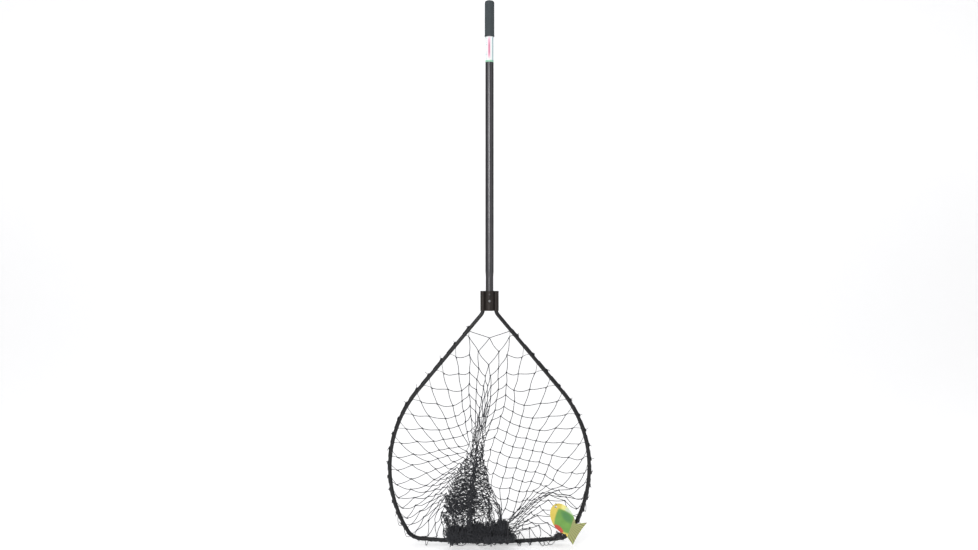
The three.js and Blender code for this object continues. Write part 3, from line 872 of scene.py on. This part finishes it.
    def guide_bag(self):
        """Keeps the gathered netting near its home places and inside the bag's outline."""
        middle, wide, y, deep = cone_at(self.at[:, 2])
        off_x, off_y = self.at[:, 0] - middle, self.at[:, 1] - y
        outside = np.hypot(off_x / wide, off_y / deep) + 1e-9
        loose = self.settled & ~self.in_lump
        high = self.home[:, 2] > PILE_TOP
        for held, hold in ((loose & ~self.in_fold & high, CONE_HOLD), (loose & ~high, PILE_HOLD)):
            self.at[held] += hold * (self.home - self.at)[held]
        over = (loose | self.in_waist) & (outside > 1)
        pull = SHELL_HOLD * (1 / outside - 1)
        self.at[over, 0] += (off_x * pull)[over]
        self.at[over, 1] += (off_y * pull)[over]

    def guide_fold(self):
        """The columns either side of the opening hang as one dark ridge down the cone's front."""
        low = self.in_fold & (self.at[:, 2] < FOLD_TOP)
        z = self.at[low, 2]
        x = np.interp(z, CONE_Z, FOLD_X)
        y = np.interp(z, CONE_Z, np.array(CONE_Y) - 0.8 * np.array(CONE_DEEP))
        off = self.at[low, :2] - np.stack([x, y], axis=1)
        share = np.minimum(1, FOLD_RADIUS / size_of(off))
        self.at[low, :2] += off * (share - 1)[:, None]

    def guide_lump(self):
        """The last rows stay within a round lump."""
        start, end = np.array(LUMP_ENDS, float)
        line = end - start
        inside = self.at[self.in_lump]
        share = np.clip((inside - start) @ line / (line @ line), 0, 1)
        nearest = start + share[:, None] * line
        away = inside - nearest
        reach = np.minimum(1, LUMP_RADIUS / size_of(away))
        self.at[self.in_lump] = nearest + away * reach[:, None]

    def keep_off_floor_and_rod(self):
        x, y, z = self.at.T
        off_z = z - (BAR_Z + x**2 / (2 * BAR_RADIUS))
        apart = np.hypot(y, off_z) + 1e-9
        room = ROD_RADIUS + 2
        inside = (np.abs(x) < BAR_REACH) & (apart < room) & (self.row > 0)
        push = (room - apart) / apart
        self.at[inside, 1] += (y * push)[inside]
        self.at[inside, 2] += (off_z * push)[inside]
        floor = FLOOR_Z / MM + 2
        grounded = self.at[:, 2] < floor
        self.at[grounded, 2] = floor
        self.at[:, 1] = np.clip(self.at[:, 1], IN_FRONT, BEHIND)
        return grounded


# ---------------- netting pieces
def wavy_bars(starts, ends, lengths, random, points, most, wave):
    """Paths between knots that sag and wave by what each bar has to spare, up to a share of it."""
    along = ends - starts
    apart = np.linalg.norm(along, axis=1)
    spare = np.clip(lengths - apart, 0.01 * lengths, None)
    bow = np.minimum(np.sqrt(0.375 * lengths * spare), most * lengths)
    turn = random.uniform(0, 2 * math.pi, len(along))
    drop = np.stack([0.7 * np.cos(turn), 0.7 * np.sin(turn), -1.0 + 0 * turn], axis=1)
    heading = unit(along)
    aside = unit(drop - heading * np.sum(drop * heading, axis=1, keepdims=True))
    other = np.cross(heading, aside)
    swing = random.uniform(-wave, wave, (len(along), 2))
    t = np.linspace(0, 1, points)[None, :, None]
    paths = starts[:, None] + along[:, None] * t
    waves = ((0.8 * bow, 1, aside), (bow * swing[:, 0], 2, aside), (bow * swing[:, 1], 2, other))
    for size, halves, way in waves:
        paths = paths + size[:, None, None] * np.sin(halves * math.pi * t) * way[:, None]
    return paths


def ring_paths(centres, axes, radius, points=8):
    """Closed rings round an axis at each centre; the last point meets the first."""
    aside = unit(np.cross(axes, np.where(np.abs(axes[:, 2:3]) < 0.9, [[0.0, 0, 1]], [[1.0, 0, 0]])))
    other = np.cross(axes, aside)
    angle = 2 * math.pi * np.arange(points) / points
    ring = np.cos(angle)[:, None] * aside[:, None] + np.sin(angle)[:, None] * other[:, None]
    return centres[:, None] + radius * ring


def above_floor(paths, radius):
    """Lift what would dip into the ground."""
    lowest = FLOOR_Z / MM + radius
    paths[..., 2] = np.maximum(paths[..., 2], lowest)
    return paths


def add_tubes(name, groups, material, sides=5, replaced=(), body="frame"):
    """One piece from several groups of (paths in mm, radius in mm, closed)."""
    parts = [tube_parts(paths, radius, sides, closed) for paths, radius, closed in groups]
    mesh = joined_mesh(name, parts)
    return add_object(name, mesh, material, body, replaced)


def knot_groups(centres, axes, size=1.0):
    """A knot is two crossed turns of twine round the place where the bars meet."""
    across = unit(np.cross(axes, [[0.0, 1.0, 0.001]]))
    first = unit(axes + 0.7 * across)
    second = unit(axes - 0.9 * across + [[0.0, 0.5, 0.0]])
    return [
        (ring_paths(centres, first, 0.85 * size), 0.7 * size, True),
        (ring_paths(centres, second, 0.8 * size), 0.7 * size, True),
    ]


# Radii of the twine and sizes of its knots in mm; the most a bar sags and waves, as shares of it.
PANEL_TWINE, LEG_TWINE, BAG_TWINE = 0.88, 0.9, 0.76
PANEL_KNOT, BAG_KNOT = 1.6, 1.1
PANEL_SAG, BAG_SAG = (0.13, 0.25), (0.26, 0.5)
BAR_POINTS, LOWEST = 9, 0.8
# The gathered netting is three pieces, one above the other, that meet at these heights.
CONE_FOOT, PILE_MIDDLE = -1190.0, -1262.0


def make_netting():
    """The net's pieces: its open panel, the gathered bag in three bands, and their knots."""
    net = Netting()
    net.fall()
    at = net.at
    panel, cone, pile, base = [], [], [], []
    for upper, lower, length in net.links:
        loose = net.in_bag[upper] & net.in_bag[lower]
        height = at[upper][:, 2]
        kinds = (
            (panel, ~loose, PANEL_SAG),
            (cone, loose & (height >= CONE_FOOT), BAG_SAG),
            (pile, loose & (height < CONE_FOOT) & (height >= PILE_MIDDLE), BAG_SAG),
            (base, loose & (height < PILE_MIDDLE), BAG_SAG),
        )
        for chosen, pick, sag in kinds:
            starts, ends = at[upper[pick]], at[lower[pick]]
            paths = wavy_bars(starts, ends, length[pick], net.random, BAR_POINTS, *sag)
            chosen.append(above_floor(paths, LOWEST))
    legs = [resampled([fixed[0], at[0]], 10)[None] for fixed in (TIED_A, TIED_B)]
    down = np.roll(at, -COLUMNS, axis=0) - at
    down[-COLUMNS:] = [0, 0, -1]
    axes = unit(down)
    groups = [(paths, PANEL_TWINE, False) for paths in panel]
    groups += [(paths, LEG_TWINE, False) for paths in legs]
    add_tubes("netting_panel", groups, NETTING, replaced=["net_bag"])
    knots = ~net.in_bag & (net.row > 0)
    groups = knot_groups(at[knots], axes[knots], PANEL_KNOT)
    add_tubes("netting_panel_knots", groups, NETTING)
    # The gathered bands take the darker twine: painted shade of the bunched netting.
    bands = (("cone", cone, []), ("pile_top", pile, []), ("pile_base", base, ["net_tail"]))
    for name, gathered, replaced in bands:
        groups = [(paths, BAG_TWINE, False) for paths in gathered]
        add_tubes(f"netting_{name}", groups, SHADED_NETTING, replaced=replaced)
    groups = knot_groups(at[net.in_bag], axes[net.in_bag], BAG_KNOT)[:1]
    add_tubes("netting_gathered_knots", groups, SHADED_NETTING)
    return net


NET = make_netting()


# ---------------- ties
# Radius of the tying twine, and how many ties on each side of the middle slack loops hang between.
TWINE, LOW_TIES = 0.6, 10


def wrap(distance, start, turns, drift, steps=22):
    """Turns of twine round the rod, from an angle off its outer side."""
    angle = start + np.linspace(0, 2 * math.pi * turns, int(steps * abs(turns)) + 1)
    share = np.linspace(-0.5, 0.5, len(angle))[:, None]
    centre = hoop_at(distance + share[:, 0] * drift * abs(turns))
    outward = hoop_outward(distance)[None]
    reach = ROD_RADIUS + 0.6 * TWINE
    cos, sin = np.cos(angle)[:, None], np.sin(angle)[:, None]
    return centre + reach * (cos * outward + sin * [[0.0, -1.0, 0.0]])


def tail_path(start, heading, length, curl, random):
    """A free end that leaves its knot and curls."""
    heading = unit(np.asarray(heading, float))
    aside = unit(np.cross(heading, random.normal(0, 1, 3)))
    t = np.linspace(0, 1, 12)[:, None]
    path = start + heading * length * t * (1 - 0.35 * curl * t) + aside * length * curl * 0.5 * t**2
    return above_floor(path, TWINE)


def three_turns(middle, along, spacing, axis, radius):
    """Three rings of twine side by side, spaced along a direction."""
    centres = np.array([middle + along * shift for shift in (-spacing, 0.0, spacing)])
    return ring_paths(centres, np.tile(axis, (3, 1)), radius, 8)


def make_tie(index, number, random):
    """Twine wrapped at two places on the rod, knotted on its outer side, tied to the net."""
    at, gap = TIE_AT[index], TIE_GAP[index]
    knot = NET.at[index + 1]
    high, low = at + gap / 2, at - gap / 2
    upper = wrap(high, math.pi, 1.5, 1.5)
    lower = wrap(low, 0.0, 1.5, 1.5)
    rest = unit(knot - hoop_at(at))
    ends = [knot + rest * 1.5, knot - rest * 2.0]
    path = np.vstack([*ends, upper, lower, ends[1] + 0.6, ends[0] + 0.6])
    knotted = low - 7
    line = resampled(smooth_line(path, 3), 96)[None]
    outward = hoop_outward(knotted)
    if outward[2] < -0.6:
        outward = unit(outward + [0, -1.4, 0])
    lump = hoop_at(knotted) + outward * (ROD_RADIUS + 0.9)
    along = unit(hoop_at(knotted + 1) - hoop_at(knotted - 1))
    link = np.linspace(low, knotted, 8)
    bridge = hoop_at(link) + outward * (ROD_RADIUS + 0.5)
    knots = three_turns(lump, along, 2.2, along + 0.25 * outward, 1.0)
    core = np.linspace(lump - along * 4.2, lump + along * 4.2, 10)[None]
    groups = [(line, TWINE, False), (knots, 0.8, True), (core, 1.0, False)]
    groups.append((bridge[None], TWINE, False))
    heading = outward + random.normal(0, 0.5, 3) + [0, -0.5, 0]
    if outward[2] < -0.5:
        heading = np.array([random.normal(0, 0.8), -1.0, -0.4])
    length = random.uniform(6, 13)
    tail = tail_path(lump, heading, length, random.uniform(0.2, 1.2), random)
    groups.append((tail[None], TWINE, False))
    seam = np.linspace(knot - rest * 3.5, knot + rest * 4.5, 8)[None]
    twists = three_turns(knot, rest, 2.0, rest, 0.8)
    groups += [(seam, 0.9, False), (twists, 0.75, True)]
    groups = [(above_floor(paths, radius + 0.1), radius, closed) for paths, radius, closed in groups]
    name = f"tie_twine_{number:02d}"
    add_tubes(name, groups, TIE_TWINE, 6, [f"net_tie_{number:02d}"])


def make_ties():
    random = np.random.default_rng(11)
    for index in range(len(TIE_NUMBERS)):
        make_tie(index, len(TIE_NUMBERS) - index, random)


def make_slack_loops():
    """Slack twine between the low ties: it droops below the bar and lies on the ground in front."""
    random = np.random.default_rng(23)
    paths = []
    for number in range(-LOW_TIES, LOW_TIES):
        for _ in range(random.choice([0, 1, 1, 2])):
            ends = np.sort(random.uniform(number - 0.3, number + 1.3, 2))
            from_at, to_at = np.interp(ends, TIE_NUMBERS[::-1], TIE_AT[::-1])
            run = np.linspace(from_at, to_at, 18)
            share = np.sin(math.pi * np.linspace(0, 1, 18) ** random.uniform(0.6, 1.6))[:, None]
            droop = share * [0, -random.uniform(4, 26), -random.uniform(2, 8)]
            path = hoop_at(run) + hoop_outward(run) * (ROD_RADIUS + 0.3) + [0, -1.5, 0] + droop
            paths.append(above_floor(path, TWINE))
    add_tubes("slack_loops", [(np.array(paths), 0.7, False)], TIE_TWINE, 6)


def make_corner_gather():
    """Net drawn together in a dark tuft on the rod at the low right corner."""
    random = np.random.default_rng(31)
    middle, spread, loops = np.array([176.0, -8.0, -1283.0]), [7.0, 2.5, 4.0], 34
    centres = middle + random.normal(0, 1, (loops, 3)) * spread
    axes = unit(random.normal(0, 1, (loops, 3)))
    paths = above_floor(ring_paths(centres, axes, 5.5, 10), 0.8)
    add_tubes("corner_gather", [(paths, 0.75, True)], NETTING)


make_ties()
make_slack_loops()
make_corner_gather()


# ---------------- draw cord and tag string
def ring_box(name):
    """Middle and outer radius in mm of a CAD ring that stands on its edge."""
    low, high = (np.array(corner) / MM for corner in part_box(name))
    return (low + high) / 2, (high[2] - low[2]) / 2


def make_draw_cord():
    """Draw cord: three close turns round the gathered end, and its two free ends."""
    centre, radius = ring_box("gather_cord")
    radius -= 1
    angle = np.linspace(0, 6 * math.pi, 90)
    x = centre[0] + np.linspace(-1.6, 1.6, 90)
    y, z = centre[1] + radius * np.cos(angle), centre[2] + radius * np.sin(angle)
    ring = np.stack([x, y, z], axis=1)
    random = np.random.default_rng(5)
    ends = ((ring[0], (0.6, -0.6, -0.5), 26, 0.8), (ring[-1], (1, -0.3, -0.2), 20, 1.0))
    tails = np.array([tail_path(*end, random) for end in ends])
    groups = [(ring[None], 0.8, False), (tails, 0.7, False)]
    add_tubes("draw_cord", groups, TIE_TWINE, 6, ["gather_cord"])


def make_tag_loop():
    """Loop of string through the tag and round the twine it hangs from."""
    centre, radius = ring_box("tag_string")
    rings = ring_paths(centre[None], np.array([[1.0, 0.0, 0.0]]), radius - 0.5, 32)
    add_tubes("tag_loop", [(rings, 0.5, True)], TIE_TWINE, 8, ["tag_string"], "tag")


make_draw_cord()
make_tag_loop()


# ---------------- hoop rod
def make_hoop():
    """The bent rod with a finer round section; its arms end inside the yoke."""
    right = np.stack([HALF_HOOP[:, 0], np.zeros(len(HALF_HOOP)), HALF_HOOP[:, 1]], axis=1)
    left = right[::-1][1:] * [-1, 1, 1]
    path = resampled(np.vstack([right, left]), 520)
    add_tubes("hoop_rod", [(path[None], ROD_RADIUS, False)], HOOP, 28, ["hoop"])


make_hoop()


# ---------------- button spring
SPRING_ROUTE = [(-3.3, -4), (-3.2, 4), (-2.2, 16), (-0.4, 27), (2.2, 31), (5, 27), (6, 16), (6.1, -8)]
SPRING_WIDTH, SPRING_THICKNESS = 5.0, 0.6
BUTTON_Z = -702.0


def make_spring():
    """Bent strip: its near leg gives way with the button, its far leg stays on the tube's wall."""
    route = np.array([(0, y, BUTTON_Z + z) for y, z in SPRING_ROUTE])
    line = resampled(smooth_line(route, 6), 60)
    across = np.array([SPRING_WIDTH / 2, 0, 0])
    through = np.cross(unit(np.gradient(line, axis=0)), [SPRING_THICKNESS / 2, 0, 0])
    sides = ((-1, -1), (1, -1), (1, 1), (-1, 1))
    corners = [line + wide * across + deep * through for wide, deep in sides]
    vertices = np.stack(corners, axis=1).reshape(-1, 3) * MM
    last = len(line) - 1
    faces = [[0, 1, 2, 3], [4 * last + 3, 4 * last + 2, 4 * last + 1, 4 * last]]
    for step in range(last):
        for side in range(4):
            here, beside = 4 * step + side, 4 * step + (side + 1) % 4
            faces.append([here, here + 4, beside + 4, beside])
    mesh = bpy.data.meshes.new("spring_strip")
    mesh.from_pydata(vertices.tolist(), [], faces)
    mesh.materials.append(SPRING)
    strip = link("spring_strip", mesh)
    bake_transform(strip)
    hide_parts("button_spring")


make_spring()


# ---------------- CAD pieces kept
def dress_kept_pieces():
    """Finishes for the CAD nodes that are shown as they are."""
    for name, material in (
        ("handle_tube", TUBE), ("handle_grip", GRIP), ("label_wrap", LABEL), ("yoke", YOKE),
        ("snap_button", BUTTON), ("arm_pin_left", PIN), ("arm_pin_right", PIN), ("swing_tag", TAG),
    ):
        dress_cad(name, material)


dress_kept_pieces()


# ---------------- studio
def plain_backdrop():
    """White floor that sweeps up into a wall behind the net."""
    finish = Finish("backdrop_paper", (0.93, 0.93, 0.94), 0.9, Specular_IOR_Level=0.1)
    finish.set("Emission Color", (1, 1, 1, 1))
    finish.set("Emission Strength", 0.35)
    width, front, back, sweep, top = 14.0, -6.0, 1.6, 1.5, 6.0
    bend = [(back + sweep * math.sin(a), FLOOR_Z + sweep * (1 - math.cos(a)))
            for a in np.linspace(0, math.pi / 2, 24)]
    profile = [(front, FLOOR_Z), *bend, (back + sweep, top)]
    vertices = [(x, y, z) for y, z in profile for x in (-width / 2, width / 2)]
    faces = [(2 * i, 2 * i + 1, 2 * i + 3, 2 * i + 2) for i in range(len(profile) - 1)]
    mesh = bpy.data.meshes.new("backdrop")
    mesh.from_pydata(vertices, [], faces)
    mesh.shade_smooth()
    mesh.materials.append(finish.material)
    floor = link("backdrop", mesh)


def area_light(name, place, target, size, power, tall=None):
    data = bpy.data.lights.new(name, "AREA")
    data.shape = "RECTANGLE"
    data.size = size
    data.size_y = tall or size
    data.energy = power
    light = link(name, data)
    light.location = place
    light.rotation_euler = (Vector(target) - Vector(place)).to_track_quat("-Z", "Y").to_euler()


def make_studio():
    plain_backdrop()
    middle = (0, 0, -0.65)
    area_light("key_left", (-2.2, -2.4, 1.2), middle, 1.6, 16, 2.2)
    area_light("strip_front", (-0.8, -2.85, 0.0), middle, 0.45, 30, 0.7)
    area_light("fill_right", (2.6, -2.0, 0.4), middle, 1.6, 8, 2.2)
    area_light("top", (0, 0.4, 2.6), middle, 3.0, 20)
    world = bpy.data.worlds.new("white_room")
    world.use_nodes = True
    background = world.node_tree.nodes["Background"]
    background.inputs["Color"].default_value = (1, 1, 1, 1)
    background.inputs["Strength"].default_value = 0.38
    bpy.context.scene.world = world
    bpy.context.scene.view_settings.view_transform = "Standard"


make_studio()
